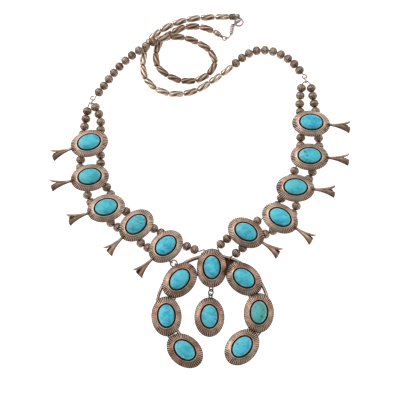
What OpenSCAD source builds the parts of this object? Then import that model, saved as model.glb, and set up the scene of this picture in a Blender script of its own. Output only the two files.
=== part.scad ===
// Squash blossom necklace lying flat: turquoise cabochons in aged silver, clasp hooked, naja towards -Y.
// Millimetres, +Z up. The origin is under the middle of the whole necklace, on the surface it lies on.

/* [Stones] */
// Length of a cabochon
stone_l = 13.8; // [13:0.2:14.2]
// Width of a cabochon
stone_w = 9.7; // [9.4:0.1:9.9]
// Height of a cabochon from the floor of its pocket
stone_h = 3.9; // [3:0.1:4.5]

/* [Settings] */
// Length of an oval setting
setting_l = 24.6; // [23:0.1:26]
// Width of an oval setting
setting_w = 18.4; // [17.5:0.1:19]
// Thickness of the silver sheet
sheet_t = 0.9; // [0.7:0.1:1.2]
// Height that the flange rises from its rim to the bezel
flange_rise = 1.3; // [0.8:0.1:1.6]
// Height of the bezel lip above the flange
lip_h = 0.5; // [0.3:0.1:0.8]
// Width of the dark recess round a stone
moat_w = 1.1; // [0.9:0.05:1.2]
// Gap between a stone and the metal under it
stone_gap = 0.04; // [0.02:0.01:0.1]

/* [Blossoms] */
// Length of a flower from the rim to its petal tips
flower_l = 12.8; // [11:0.1:14]
// Radius of a flower at its mouth
flower_r = 3.9; // [3.2:0.1:4.2]
// Radius of a flower at its stem
flower_stem_r = 0.9; // [0.8:0.05:1.3]
// Wall of a flower
flower_wall = 0.55; // [0.4:0.05:0.7]
// Share of the flower's length that the cuts between petals take
petal_cut = 0.4; // [0.3:0.02:0.5]
// Angle that a flower hangs down from its setting
flower_droop = 7; // [0:1:9]
// Height of a blossom's rim above the surface
blossom_z = 6.3; // [6.3:0.1:6.6]

/* [Beads] */
// Radius of a round bead over its ridges
round_r = 3; // [2.7:0.1:3]
// Length of a round bead
round_l = 5; // [4.6:0.1:5.1]
// Spacing of round beads on the single strands
round_pitch = 5.5; // [5.45:0.05:5.6]
// Spacing of round beads on the double strands
pair_pitch = 5.3; // [5.2:0.05:5.4]
// Radius of a tube bead
tube_r = 2.1; // [1.9:0.1:2.1]
// Length of a tube bead
tube_l = 8.6; // [8.2:0.1:8.6]
// Spacing of tube beads
tube_pitch = 9.5; // [9.45:0.05:9.55]
// Radius of the hole through a bead
bore_r = 0.55; // [0.5:0.05:0.6]
// Radius of the thread
thread_r = 0.4; // [0.3:0.05:0.4]

/* [Bails and rings] */
// Length of a bail tube
bail_l = 2; // [1.8:0.1:2.4]
// Outer radius of a bail tube
bail_r = 1.5; // [1.4:0.05:1.6]
// Radius of the hole through a bail
bail_bore_r = 0.95; // [0.9:0.05:1]
// Wire radius of the rings and loops
ring_wire_r = 0.4; // [0.35:0.05:0.4]
// Centreline radius of the shoulder rings
shoulder_ring_r = 2; // [1.9:0.05:2.1]
// Centreline radius of the small loops
loop_r = 1.4; // [1.3:0.05:1.5]

/* [Naja] */
// Centreline radius of the outer strip
naja_outer_r = 35.3; // [34.5:0.1:36]
// Centreline radius of the inner strip
naja_inner_r = 25.3; // [24.8:0.1:25.8]
// How much further out the rims of its settings and of the drop stand than a blossom's
naja_grow = 0.25; // [0:0.05:0.3]
// Radius that the outer strip closes in with, past its shoulders
naja_close_r = 27; // [26:0.5:29]
// Thickness of a strip
strip_t = 1.8; // [1.4:0.1:1.9]
// Height of a strip, which carries the settings
strip_h = 3.2; // [3:0.1:3.6]
// Angle that the strips cover, open towards -Y
naja_sweep = 294; // [288:1:298]

/* [Clasp] */
// Radius of the hook's bend
hook_bend_r = 1.3; // [1.25:0.05:1.35]
// Length of the hook's arms
hook_l = 4.4; // [4:0.1:4.5]
// Centreline radius of the flat eye
eye_r = 2.7; // [2.6:0.1:2.7]
// Wire radius of the flat eye
eye_wire_r = 0.5; // [0.4:0.05:0.5]
// Wire radius of the hook
hook_wire_r = 0.5; // [0.4:0.05:0.55]
// Length of the cone at the left strand's end
cone_l = 7.4; // [6.8:0.1:7.6]

/* [Hidden] */
fine = 48;
// Facets of the ovals, fine enough to hold their true volume
oval_fine = 144;

// Layout as it lies, in millimetres. The whole layout is shifted so that the origin is at its middle.
layout_shift = [-0.48, -9.28, 0];

// Blossoms from the shoulder down: [x, y, turn of the long axis, lean towards +Y, flower roll]
LEFT_BLOSSOMS = [
    [-71.0, 35.5, 198, 6, 0],
    [-70.2, 12.7, 191, 5, 4],
    [-59.5, -7.3, 197, 4, -3],
    [-40.2, -18.4, 223, 2, 6],
    [-21.5, -32.1, 224, 2, 2]
];
RIGHT_BLOSSOMS = [
    [71.5, 48.9, -4, 6, 3],
    [70.1, 26.6, -3, 4, -3],
    [60.7, 5.9, -4, 3, 0],
    [50.6, -13.7, -34, 2, -5],
    [29.0, -23.2, -32, 2, -2]
];

// Naja settings: [x, y, turn of the long axis]
NAJA_SETTINGS = [
    [7.4, -45.2, 90],
    [-12.8, -53.1, 49],
    [27.6, -52.2, 140],
    [-20.9, -76.0, 93],
    [36.7, -73.9, 86],
    [-9.4, -97.6, 139],
    [26.0, -95.4, 49]
];
naja_centre = [7.9, -72.2, 0];
drop_place = [5.9, -75.9, 90];

// Strands of the double stretch: [x, y, z, beads before the next row, shift of those beads from
// the middle of the stretch, 1 where a bail carries the thread]
LEFT_OUTER = [
    [-72.8, 61.8, 3, 4, -1.9, 0],
    [-76.5, 36.5, 3, 2, 1.7, 1],
    [-77.0, 13.5, 3, 2, 2.4, 1],
    [-66.5, -9.0, 3, 2, 1.8, 1],
    [-45.5, -23.4, 3, 2, 0.9, 1],
    [-26.5, -36.5, 3, 0, 0, 1],
    [-21.2, -39.5, 2.6, 0, 0, 0]
];
LEFT_INNER = [
    [-69.2, 64.2, 3, 2, 0, 0],
    [-64.2, 54.2, 3, 2, -3.0, 0],
    [-64.2, 37.5, 3, 2, -0.4, 1],
    [-63.5, 14.5, 3, 2, -0.6, 1],
    [-52.5, -5.0, 3, 2, -0.8, 1],
    [-35.5, -15.5, 3, 2, -1.1, 1],
    [-16.5, -27.5, 3, 2, 2.9, 1],
    [-0.6, -34.4, 3, 0, 0, 0]
];
RIGHT_OUTER = [
    [72.1, 77.4, 3, 4, -3.1, 0],
    [76.3, 50.0, 3, 2, 0.9, 1],
    [76.8, 27.5, 3, 2, 1.8, 1],
    [66.5, 6.5, 3, 2, 2.4, 1],
    [56.0, -16.5, 3, 2, 1.3, 1],
    [34.0, -26.5, 3, 2, 3.2, 1],
    [20.7, -37.25, 3, 0, 0, 0]
];
RIGHT_INNER = [
    [66.6, 77.6, 3, 2, 0, 0],
    [64.6, 66.6, 3, 2, -2.8, 0],
    [65.3, 50.0, 3, 2, 0.8, 1],
    [64.5, 28.0, 3, 2, 1.2, 1],
    [55.5, 6.5, 3, 2, 0, 1],
    [45.5, -10.5, 3, 2, 0.8, 1],
    [24.0, -20.0, 3, 2, 3.1, 1],
    [10.8, -31.8, 3, 0, 0, 0]
];

// Routes of the single strands from the shoulder to the clasp: [x, y, z]
LEFT_ROUTE = [
    [-67.5, 69.6, 3.1], [-62.5, 76.4, 3.1], [-56.1, 85.6, 3.2], [-48.3, 93.6, 4.8],
    [-43.7, 96.6, 6.5], [-39.3, 99.6, 7.5], [-30.9, 105.0, 7.5], [-23.9, 108.2, 7.2],
    [-14.1, 109.6, 5.6], [-4.8, 108.3, 3.2], [3.0, 104.2, 2.15], [6.9, 101.0, 2.1],
    [10.4, 92.2, 2.1], [5.2, 83.9, 2.1], [-3.0, 80.0, 2.1], [-12.4, 79.9, 2.1],
    [-21.2, 83.6, 2.1], [-28.4, 90.4, 2.1], [-29.3, 99.3, 2.1], [-26.6, 107.3, 2.1],
    [-18.4, 113.9, 2.1], [-9.3, 118.0, 2.1], [-0.5, 118.2, 2.1], [8.5, 115.2, 2.1],
    [12.0, 112.9, 2.1]
];
RIGHT_ROUTE = [
    [66.5, 84.7, 3.1], [62.0, 91.3, 3.1], [53.5, 97.9, 3.1], [43.1, 101.2, 3.1],
    [32.4, 99.2, 3.1], [22.0, 90.6, 3.1], [14.2, 84.2, 2.5], [6.8, 79.0, 2.15],
    [-1.2, 73.6, 2.1], [-10.6, 71.0, 2.1], [-20.3, 71.0, 2.1], [-28.8, 74.4, 2.1],
    [-36.0, 81.6, 2.1], [-37.7, 90.5, 2.1], [-36.7, 99.2, 2.1], [-34.0, 108.3, 2.1],
    [-26.9, 114.7, 2.1], [-18.6, 119.5, 2.1], [-9.8, 122.7, 2.1], [-0.5, 124.2, 2.1],
    [9.5, 124.7, 2.1], [18.7, 124.9, 2.1], [22.0, 125.0, 2.1]
];
ROUND_COUNT = 10;
TUBE_COUNT = 16;

// The rings between one strand and two: [x, y, direction that the ring stands in]
LEFT_SHOULDER = [-70.4, 65.5, 77];
RIGHT_SHOULDER = [68.9, 80.3, 102];

// Where the strands' last loops lie at the naja: [x, y, z]
LEFT_OUTER_EYE = [-18.6, -40.85, 1.85];
LEFT_INNER_EYE = [2.4, -34.5, 1.8];
RIGHT_OUTER_EYE = [18.95, -38.68, 2.85];
RIGHT_INNER_EYE = [10.7, -34.2, 1.8];

function unit(v) = v / norm(v);
function catmull(a, b, c, d, t) =
    (2 * b + (c - a) * t + (2 * a - 5 * b + 4 * c - d) * t * t + (3 * b - a - 3 * c + d) * t * t * t) / 2;
function smooth_route(p, steps = 10) = [
    for (i = [0:len(p) - 2], s = [0:steps - 1])
        catmull(p[max(i - 1, 0)], p[i], p[i + 1], p[min(i + 2, len(p) - 1)], s / steps),
    p[len(p) - 1]
];

// The next point of a fine route at a straight distance d from p, as [index, point]
function reach(route, i, p, d) =
    i >= len(route) - 2 || norm(route[i + 1] - p) >= d ? i : reach(route, i + 1, p, d);
function stride(route, at, d) =
    let (i = reach(route, at[0], at[1], d), m = route[i] - at[1], e = route[i + 1] - route[i])
    [i, route[i] + e * (-m * e + sqrt((m * e) * (m * e) - (e * e) * (m * m - d * d))) / (e * e)];
function walk(route, pitches) = [
    for (k = 0, at = [0, route[0]]; k <= len(pitches);
         at = k < len(pitches) ? stride(route, at, pitches[k]) : at, k = k + 1) at[1]
];
STRAND_PITCHES = [
    for (k = [1:ROUND_COUNT]) round_pitch,
    for (k = [1:TUBE_COUNT]) tube_pitch
];
LEFT_JOINTS = walk(smooth_route(LEFT_ROUTE), STRAND_PITCHES);
RIGHT_JOINTS = walk(smooth_route(RIGHT_ROUTE), STRAND_PITCHES);

function xyz(row) = [row[0], row[1], row[2]];
function flat_dir(a) = [cos(a), sin(a), 0];
function heading(p, q) = atan2(q[1] - p[1], q[0] - p[0]);

// Setting profile radii across its width, and heights from its rim's underside
rim_r = setting_w / 2;
pocket_r = stone_w / 2 + moat_w;
lip_r = pocket_r + 0.4;
foot_r = lip_r + 0.25;
foot_z = sheet_t + flange_rise;
lip_z = foot_z + lip_h;
floor_z = foot_z - 0.4;
stone_z = floor_z + stone_gap;
setting_stretch = setting_l / setting_w;
stone_stretch = stone_l / stone_w;
naja_z = strip_h;
lean_lift = 0.16;

// A solid of revolution drawn out along X into an oval, in two halves
module oval(stretch) {
    for (half = [0, 180])
        scale([stretch, 1, 1]) rotate([0, 0, half]) rotate_extrude(angle = 180, $fn = oval_fine) children();
}

// Oval plate with a dished back, a raised lip and a pocket, its rim's underside at z = 0
module setting(grow = 0) {
    rim = rim_r + grow;
    color("silver") oval(setting_stretch)
        polygon([
            [0, floor_z], [pocket_r, floor_z], [pocket_r, lip_z], [lip_r, lip_z], [foot_r, foot_z],
            [(foot_r + rim) / 2, foot_z - flange_rise * 0.42], [rim - 0.15, sheet_t * 0.75],
            [rim, sheet_t * 0.45], [rim - 0.1, 0], [rim - 0.8, 0],
            [foot_r, floor_z - sheet_t], [0, floor_z - sheet_t]
        ]);
}

// Cabochon: a short upright girdle under a low dome
module stone() {
    dome_steps = 7;
    girdle_h = 1.1;
    r = stone_w / 2;
    color("turquoise") oval(stone_stretch)
        polygon([
            [0, stone_z], [r, stone_z],
            for (i = [0:dome_steps])
                let (a = 90 * i / dome_steps)
                [r * pow(cos(a), 0.8), stone_z + girdle_h + (stone_h - girdle_h) * pow(sin(a), 0.95)]
        ]);
}

module place_blossom(row) {
    translate([row[0], row[1], blossom_z + lean_lift * row[3]])
        rotate([-row[3], 0, 0]) rotate([0, 0, row[2]]) children();
}

module place_naja(row) {
    translate([row[0], row[1], naja_z]) rotate([0, 0, row[2]]) children();
}

// Open trumpet flower along +X from the rim, cut into three petals
module flower(roll) {
    r = flower_r;
    s = flower_stem_r;
    l = flower_l;
    w = flower_wall;
    root = 1.6;
    cut_l = l * petal_cut;
    color("silver") rotate([0, flower_droop, 0]) rotate([roll, 0, 0]) rotate([0, 90, 0]) difference() {
        rotate_extrude($fn = fine)
            polygon([
                [0, -root], [s, -root], [s, 0], [s * 1.15, l * 0.25], [r * 0.48, l * 0.5],
                [r * 0.68, l * 0.75], [r, l], [r - w * 0.5, l + 0.1], [r * 0.68 - w, l * 0.76],
                [r * 0.48 - w, l * 0.5], [0.25, l * 0.3], [0, l * 0.3]
            ]);
        for (a = [60, 180, 300])
            rotate([0, 0, a]) rotate([90, 0, 90]) linear_extrude(r + 1)
                polygon([[0, l - cut_l], [r * 0.45, l + 0.6], [-r * 0.45, l + 0.6]]);
    }
}

// Tube bail round the thread at c, along direction a, with a web up to the plate
module bail(c, a, web_top) {
    web_t = 1;
    color("silver") difference() {
        translate(c) rotate([0, 0, a]) union() {
            rotate([0, 90, 0]) cylinder(r = bail_r, h = bail_l, center = true, $fn = fine);
            translate([-bail_l / 2 + 0.2, -web_t / 2, bail_bore_r])
                cube([bail_l - 0.4, web_t, web_top - c[2] - bail_bore_r]);
        }
        translate(c) rotate([0, 0, a]) rotate([0, 90, 0])
            cylinder(r = bail_bore_r, h = bail_l + 2, center = true, $fn = fine);
    }
}

// The bail at row i of a strand, turned halfway between the stretches that meet there
module strand_bail(rows, i, web_top) {
    a = heading(rows[i - 1], rows[i]);
    b = i < len(rows) - 1 ? heading(rows[i], rows[i + 1]) : a;
    turn = (b - a + 540) % 360 - 180;
    bail(xyz(rows[i]), a + turn / 2, web_top);
}

// One blossom: plate, flower and the two bails that its strands run through
module blossom(row, outer, inner, outer_i, inner_i) {
    web_top = blossom_z + lean_lift * row[3] + floor_z - sheet_t / 2;
    place_blossom(row) {
        setting();
        translate([setting_l / 2 - 0.2, 0, sheet_t * 0.5]) flower(row[4]);
    }
    strand_bail(outer, outer_i, web_top);
    strand_bail(inner, inner_i, web_top);
}
module left_blossom(i) {
    blossom(LEFT_BLOSSOMS[i], LEFT_OUTER, LEFT_INNER, i + 1, i + 2);
}
module right_blossom(i) {
    blossom(RIGHT_BLOSSOMS[i], RIGHT_OUTER, RIGHT_INNER, i + 1, i + 2);
}

// A solid of revolution along the line from p to q
module along(p, q) {
    v = q - p;
    translate((p + q) / 2) rotate([0, acos(v[2] / norm(v)), atan2(v[1], v[0])]) children();
}

module bar(p, q, r) {
    along(p, q) cylinder(r = r, h = norm(q - p), center = true, $fn = fine);
}

// Drilled round bead with two ridges at its equator
module round_bead() {
    h = round_l / 2;
    r = round_r;
    color("silver") rotate_extrude($fn = fine)
        polygon([
            [bore_r, -h], [1, -h], [r * 0.75, -h * 0.68], [r * 0.93, -h * 0.32], [r, -h * 0.22],
            [r, -h * 0.1], [r * 0.93, 0], [r, h * 0.1], [r, h * 0.22], [r * 0.93, h * 0.32],
            [r * 0.75, h * 0.68], [1, h], [bore_r, h]
        ]);
}

// Drilled spindle-shaped tube bead
module tube_bead() {
    h = tube_l / 2;
    r = tube_r;
    color("silver") rotate_extrude($fn = fine)
        polygon([
            [bore_r, -h], [0.7, -h], [r * 0.76, -h * 0.88], [r * 0.94, -h * 0.68], [r, -h * 0.3],
            [r, h * 0.3], [r * 0.94, h * 0.68], [r * 0.76, h * 0.88], [0.7, h], [bore_r, h]
        ]);
}

// The beads of one stretch of a double strand, between row i and the next
module stretch_beads(rows, i) {
    p = xyz(rows[i]);
    q = xyz(rows[i + 1]);
    d = unit(q - p);
    n = rows[i][3];
    middle = (p + q) / 2 + d * rows[i][4];
    if (n > 0)
        for (k = [0:n - 1]) {
            c = middle + d * pair_pitch * (k - (n - 1) / 2);
            along(c - d, c + d) round_bead();
        }
}
module double_beads(rows) {
    for (i = [0:len(rows) - 2]) stretch_beads(rows, i);
}
module round_beads(joints) {
    for (k = [0:ROUND_COUNT - 1]) along(joints[k], joints[k + 1]) round_bead();
}
module tube_beads(joints) {
    for (k = [ROUND_COUNT:ROUND_COUNT + TUBE_COUNT - 1]) along(joints[k], joints[k + 1]) tube_bead();
}

// A tube of straight stretches through the points p, mitred where it bends
function bisector(p, i) =
    unit((i > 0 ? unit(p[i] - p[i - 1]) : [0, 0, 0]) +
         (i < len(p) - 1 ? unit(p[i + 1] - p[i]) : [0, 0, 0]));
module swept_tube(p, r, sides = 8) {
    n = len(p);
    tangents = [for (i = [0:n - 1]) bisector(p, i)];
    // Each ring's side direction is the one before it, laid square to the thread again
    side_dirs = [
        for (i = 0, s = unit(cross([0, 0, 1], tangents[0])); i < n;
             i = i + 1, s = i < n ? unit(s - (s * tangents[i]) * tangents[i]) : s) s
    ];
    points = [
        for (i = [0:n - 1])
            let (
                up = cross(tangents[i], side_dirs[i]),
                next_dir = i < n - 1 ? unit(p[i + 1] - p[i]) : tangents[i],
                bend = next_dir - (next_dir * tangents[i]) * tangents[i],
                open = i > 0 && i < n - 1 ? tangents[i] * next_dir : 1,
                across_bend = norm(bend) > 0.001 ? unit(bend) : [0, 0, 0]
            )
            for (k = [0:sides - 1])
                let (a = 360 * (k + 0.5) / sides, o = side_dirs[i] * cos(a) + up * sin(a))
                    p[i] + r * (o + (1 / open - 1) * (o * across_bend) * across_bend)
    ];
    ring = [for (k = [0:sides - 1]) k];
    faces = [
        [for (k = ring) sides - 1 - k],
        for (i = [0:n - 2], k = ring)
            let (a = i * sides + k, b = i * sides + (k + 1) % sides) each [
                [a, b, b + sides], [a, b + sides, a + sides]
            ],
        [for (k = ring) (n - 1) * sides + k]
    ];
    polyhedron(points, faces);
}

// A ring of round wire with its centre at c, lying flat before it is turned
module wire_ring(c, r, turn = [0, 0, 0], wire_r = ring_wire_r) {
    translate(c) rotate(turn) rotate_extrude($fn = fine) translate([r, 0]) circle(r = wire_r, $fn = 24);
}

// Places round a shoulder ring: d is measured along the ring's own direction
function shoulder_at(s, d, across = 0) =
    [s[0], s[1], shoulder_ring_r + ring_wire_r] + d * flat_dir(s[2]) + across * flat_dir(s[2] - 90);
module shoulder_ring(s) {
    color("silver") wire_ring(shoulder_at(s, 0), shoulder_ring_r, [90, 0, s[2]]);
}

// The bent eye at a thread's end, round the point c, in the plane of u and v. It opens along u.
function eye(c, u, v, r = loop_r) = [
    c + (r + 0.2) * u - 0.65 * v,
    for (a = [-60:-30:-300]) c + r * (u * cos(a) + v * sin(a))
];
function flat_eye(c, towards) =
    let (a = heading(c, towards)) eye(c, flat_dir(a), flat_dir(a - 90));
function upright_eye(c, towards, r = loop_r) =
    eye(c, flat_dir(heading(c, towards)), [0, 0, 1], r);

module single_thread(shoulder, joints, end) {
    color("dimgray")
        swept_tube([each flat_eye(shoulder_at(shoulder, shoulder_ring_r + 0.4), joints[0]), each joints, end],
                   thread_r);
}

// The two strands below a shoulder are one thread, turned back through the ring
module double_thread(shoulder, outer, inner, side, outer_eye, inner_eye) {
    turn_in = -shoulder_ring_r / 2;
    color("dimgray") swept_tube([
        each outer_eye,
        for (i = [len(outer) - 1:-1:0]) xyz(outer[i]),
        shoulder_at(shoulder, turn_in, -1.2 * side),
        shoulder_at(shoulder, turn_in, 1.2 * side),
        for (row = inner) xyz(row),
        for (i = [len(inner_eye) - 1:-1:0]) inner_eye[i]
    ], thread_r);
}

// Strips on edge, seven settings, and the loops of the strands, the ring and the drop
hanger_c = [7, -58.35, 2.55];
hanger_tilt = 45;
jump_ring_r = loop_r + 0.6;
LOOP_ANGLES = [85.8, 98.3, 128.1];
slot_z = 1.5;
slot_r = 0.8;
// Direction of the slot and of the thread's eye through it
slot_turn = 56;
// Angle to each side of the top at which the outer strip starts to close in
close_from = 70;
module naja_inner_strip() {
    translate([naja_centre[0], naja_centre[1], 0]) rotate([0, 0, 90 - naja_sweep / 2])
        rotate_extrude(angle = naja_sweep, $fn = 96) translate([naja_inner_r - strip_t / 2, 0])
            square([strip_t, strip_h + 0.1]);
}

// A point of the outer strip, a degrees round from its top and d outside its middle line
function strip_point(a, d) =
    let (side = a < 0 ? -close_from : close_from, shift = naja_outer_r - naja_close_r)
    abs(a) <= close_from
        ? naja_centre + (naja_outer_r + d) * flat_dir(90 + a)
        : naja_centre + shift * flat_dir(90 + side) + (naja_close_r + d) * flat_dir(90 + a);
module naja_outer_strip() {
    steps = 76;
    angles = [for (k = [0:steps]) naja_sweep * (k / steps - 0.5)];
    edge_out = [for (a = angles) strip_point(a, strip_t / 2)];
    edge_in = [for (k = [steps:-1:0]) strip_point(angles[k], -strip_t / 2)];
    linear_extrude(strip_h + 0.1) polygon([for (p = concat(edge_out, edge_in)) [p[0], p[1]]]);
}
module naja_loop(a) {
    wire_ring([naja_centre[0], naja_centre[1], loop_r + ring_wire_r] +
              (naja_outer_r + strip_t / 2 + 0.57) * flat_dir(a), loop_r, [90, 0, a]);
}
module naja() {
    color("silver") {
        difference() {
            naja_outer_strip();
            translate([RIGHT_OUTER_EYE[0], RIGHT_OUTER_EYE[1], slot_z]) rotate([0, 90, slot_turn])
                cylinder(r = slot_r, h = 4 * strip_t, center = true, $fn = fine);
        }
        naja_inner_strip();
        for (row = NAJA_SETTINGS) place_naja(row) setting(naja_grow);
        for (a = LOOP_ANGLES) naja_loop(a);
        wire_ring(hanger_c, loop_r + 0.15, [0, hanger_tilt, 0]);
    }
}

// Open ring where the left lower strand joins the naja
naja_ring_c = [-16.5, -41.9, 1.8];
naja_ring_r = 2.1;
module naja_ring() {
    color("silver") wire_ring(naja_ring_c, naja_ring_r);
}

// Drop: one setting on the surface, its loop, and the jump ring up to the naja
drop_loop_c = [6.6, -62.8, 1.45];
drop_ring_c = [6.8, -60.7, 2.05];
module drop_setting() {
    color("silver") {
        translate([drop_place[0], drop_place[1], 0]) rotate([0, 0, drop_place[2]]) setting(naja_grow);
        wire_ring(drop_loop_c, loop_r, [0, hanger_tilt, 0]);
    }
}
module drop_ring() {
    color("silver") wire_ring(drop_ring_c, jump_ring_r, [0, -hanger_tilt, 0]);
}

// Left end: a ridged cone and a flat loop
cone_start = LEFT_JOINTS[ROUND_COUNT + TUBE_COUNT];
cone_aim = [15.2, 110.3, 2.1];
cone_dir = unit(cone_aim - cone_start);
cone_tip = cone_start + cone_dir * (cone_l + 0.4);
cone_loop_c = cone_tip + cone_dir * (loop_r - 0.1);
module cone_end() {
    color("silver") {
        along(cone_start + cone_dir * 0.4, cone_tip) rotate_extrude($fn = fine)
            polygon([
                [0, -cone_l * 0.1], [bore_r, -cone_l * 0.1], [bore_r, -cone_l / 2], [1.9, -cone_l / 2],
                [2, -cone_l * 0.36], [1.7, -cone_l * 0.32], [1.75, -cone_l * 0.18], [1.45, -cone_l * 0.14],
                [1.5, 0], [1.15, cone_l * 0.06], [1.1, cone_l * 0.25], [0.7, cone_l * 0.5],
                [0, cone_l * 0.5]
            ]);
        wire_ring(cone_loop_c, loop_r);
    }
}

// Hook: a loop, a wrapped shank, and a wire that runs under the eye, up through it and back over it
shank_base = [20.5, 112.6, 1.4];
shank_top = [21.6, 119.5, 1.4];
hook_turn = 28;
arm_low_z = 0.75;
link_dir = flat_dir(heading(cone_loop_c, [18.5, 110.2, 0]));
hook_loop_c = cone_loop_c + 1.75 * link_dir - [0, 0, 0.3];
function on_hook(along_arm, z) = [shank_top[0], shank_top[1], z] + along_arm * flat_dir(hook_turn);
module hook() {
    wraps = 7;
    wrap_r = hook_wire_r + 0.75;
    shank_l = norm(shank_top - shank_base);
    shank_dir = unit(shank_top - shank_base);
    low_start = on_hook(1, arm_low_z);
    bend_z = arm_low_z + hook_bend_r;
    tip = on_hook(1.3, bend_z + hook_bend_r + 0.15);
    color("silver") {
        wire_ring(hook_loop_c, loop_r, [90, 0, heading(cone_loop_c, hook_loop_c)]);
        bar(hook_loop_c + loop_r * link_dir, shank_base + 0.6 * shank_dir, hook_wire_r);
        along(shank_base, shank_top) rotate_extrude($fn = fine)
            polygon([
                [0, -shank_l / 2],
                for (i = [0:wraps - 1])
                    each [
                        [wrap_r - 0.25, -shank_l / 2 + shank_l * (i + 0.05) / wraps],
                        [wrap_r, -shank_l / 2 + shank_l * (i + 0.5) / wraps],
                        [wrap_r - 0.25, -shank_l / 2 + shank_l * (i + 0.95) / wraps]
                    ],
                [0, shank_l / 2]
            ]);
        bar(on_hook(-0.6, shank_top[2]), low_start, hook_wire_r);
        translate(low_start) sphere(r = hook_wire_r + 0.05, $fn = fine);
        bar(low_start, on_hook(hook_l, arm_low_z), hook_wire_r);
        translate(on_hook(hook_l, bend_z)) rotate([90, 0, hook_turn]) rotate([0, 0, -90])
            rotate_extrude(angle = 180, $fn = fine) translate([hook_bend_r, 0])
                circle(r = hook_wire_r + 0.03, $fn = 24);
        bar(on_hook(hook_l, bend_z + hook_bend_r), tip, hook_wire_r);
        translate(tip) sphere(r = hook_wire_r + 0.1, $fn = fine);
    }
}

// Right end: a ridged bead, then a cap soldered to the flat eye that the hook catches
end_joint = RIGHT_JOINTS[ROUND_COUNT + TUBE_COUNT];
end_dir = unit([26.2, 125.1, 2.1] - end_joint);
bead_end_l = 3.7;
cap_l = 2.9;
cap_start = end_joint + end_dir * (bead_end_l + 0.7);
eye_c = [25.7, 121.1, 2.1];
module end_bead() {
    h = bead_end_l / 2;
    color("silver") along(end_joint + end_dir * 0.4, end_joint + end_dir * (bead_end_l + 0.4))
        rotate_extrude($fn = fine)
            polygon([
                [bore_r, -h], [1.2, -h], [1.9, -h * 0.75], [1.75, -h * 0.6], [2.05, -h * 0.3],
                [1.85, -h * 0.1], [2.1, h * 0.2], [1.85, h * 0.5], [1.95, h * 0.7], [1.2, h], [bore_r, h]
            ]);
}
module eye_end() {
    h = cap_l / 2;
    bore_depth = 1.6;
    color("silver") {
        along(cap_start, cap_start + end_dir * cap_l) rotate_extrude($fn = fine)
            polygon([
                [0, bore_depth - h], [bore_r, bore_depth - h], [bore_r, -h], [1.5, -h], [1.75, -h * 0.4],
                [1.3, h * 0.2], [1.25, h * 0.7], [0.9, h], [0, h]
            ]);
        wire_ring(eye_c, eye_r, wire_r = eye_wire_r);
    }
}

translate(layout_shift) {
    for (i = [0:4]) {
        left_blossom(i);
        right_blossom(i);
        place_blossom(LEFT_BLOSSOMS[i]) stone();
        place_blossom(RIGHT_BLOSSOMS[i]) stone();
    }
    for (i = [0:6])
        place_naja(NAJA_SETTINGS[i]) stone();
    translate([drop_place[0], drop_place[1], 0]) rotate([0, 0, drop_place[2]]) stone();  // drop_stone
    naja();
    naja_ring();
    drop_setting();
    drop_ring();
    round_beads(LEFT_JOINTS);  // left_round_beads
    round_beads(RIGHT_JOINTS);  // right_round_beads
    tube_beads(LEFT_JOINTS);  // left_tube_beads
    tube_beads(RIGHT_JOINTS);  // right_tube_beads
    double_beads(LEFT_OUTER);  // left_outer_beads
    double_beads(LEFT_INNER);  // left_inner_beads
    double_beads(RIGHT_OUTER);  // right_outer_beads
    double_beads(RIGHT_INNER);  // right_inner_beads
    single_thread(LEFT_SHOULDER, LEFT_JOINTS, cone_start + cone_dir * 1.6);  // left_thread
    single_thread(RIGHT_SHOULDER, RIGHT_JOINTS, cap_start + end_dir * 1.2);  // right_thread
    double_thread(LEFT_SHOULDER, LEFT_OUTER, LEFT_INNER, 1,  // left_double_thread
                      upright_eye(LEFT_OUTER_EYE, LEFT_OUTER[6]), flat_eye(LEFT_INNER_EYE, LEFT_INNER[7]));
    double_thread(RIGHT_SHOULDER, RIGHT_OUTER, RIGHT_INNER, -1,  // right_double_thread
                      upright_eye(RIGHT_OUTER_EYE, RIGHT_OUTER_EYE + flat_dir(slot_turn), loop_r + 0.2),
                      flat_eye(RIGHT_INNER_EYE, RIGHT_INNER[7]));
    shoulder_ring(LEFT_SHOULDER);  // left_shoulder_ring
    shoulder_ring(RIGHT_SHOULDER);  // right_shoulder_ring
    cone_end();
    hook();
    end_bead();
    eye_end();
}
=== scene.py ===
# Squash blossom necklace: fluted silver settings, domed turquoise, stamped beads, laid flat on white.
# Sizes in the dictionaries are in millimetres and angles in degrees, unless a note says otherwise.
import math
import random

import bmesh
import bpy
import numpy as np
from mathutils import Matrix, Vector


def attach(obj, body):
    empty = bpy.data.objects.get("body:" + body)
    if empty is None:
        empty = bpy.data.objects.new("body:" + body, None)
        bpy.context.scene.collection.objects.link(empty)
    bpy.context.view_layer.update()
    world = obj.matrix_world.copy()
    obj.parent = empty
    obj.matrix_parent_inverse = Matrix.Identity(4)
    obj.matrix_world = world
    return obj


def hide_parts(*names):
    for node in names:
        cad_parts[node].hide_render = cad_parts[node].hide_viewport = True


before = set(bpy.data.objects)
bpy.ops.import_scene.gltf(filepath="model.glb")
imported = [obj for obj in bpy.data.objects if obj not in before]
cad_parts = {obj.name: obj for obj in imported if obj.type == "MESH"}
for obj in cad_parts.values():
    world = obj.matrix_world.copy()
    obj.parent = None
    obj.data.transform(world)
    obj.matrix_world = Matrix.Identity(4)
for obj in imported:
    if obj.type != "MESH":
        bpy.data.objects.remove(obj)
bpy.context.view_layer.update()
mm = 0.001
chance = random.Random(7)   # every random draw comes from here, one after the other
anyTurn = (0, 6.28)         # radians
print("frame:", len(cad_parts), "nodes")


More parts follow.
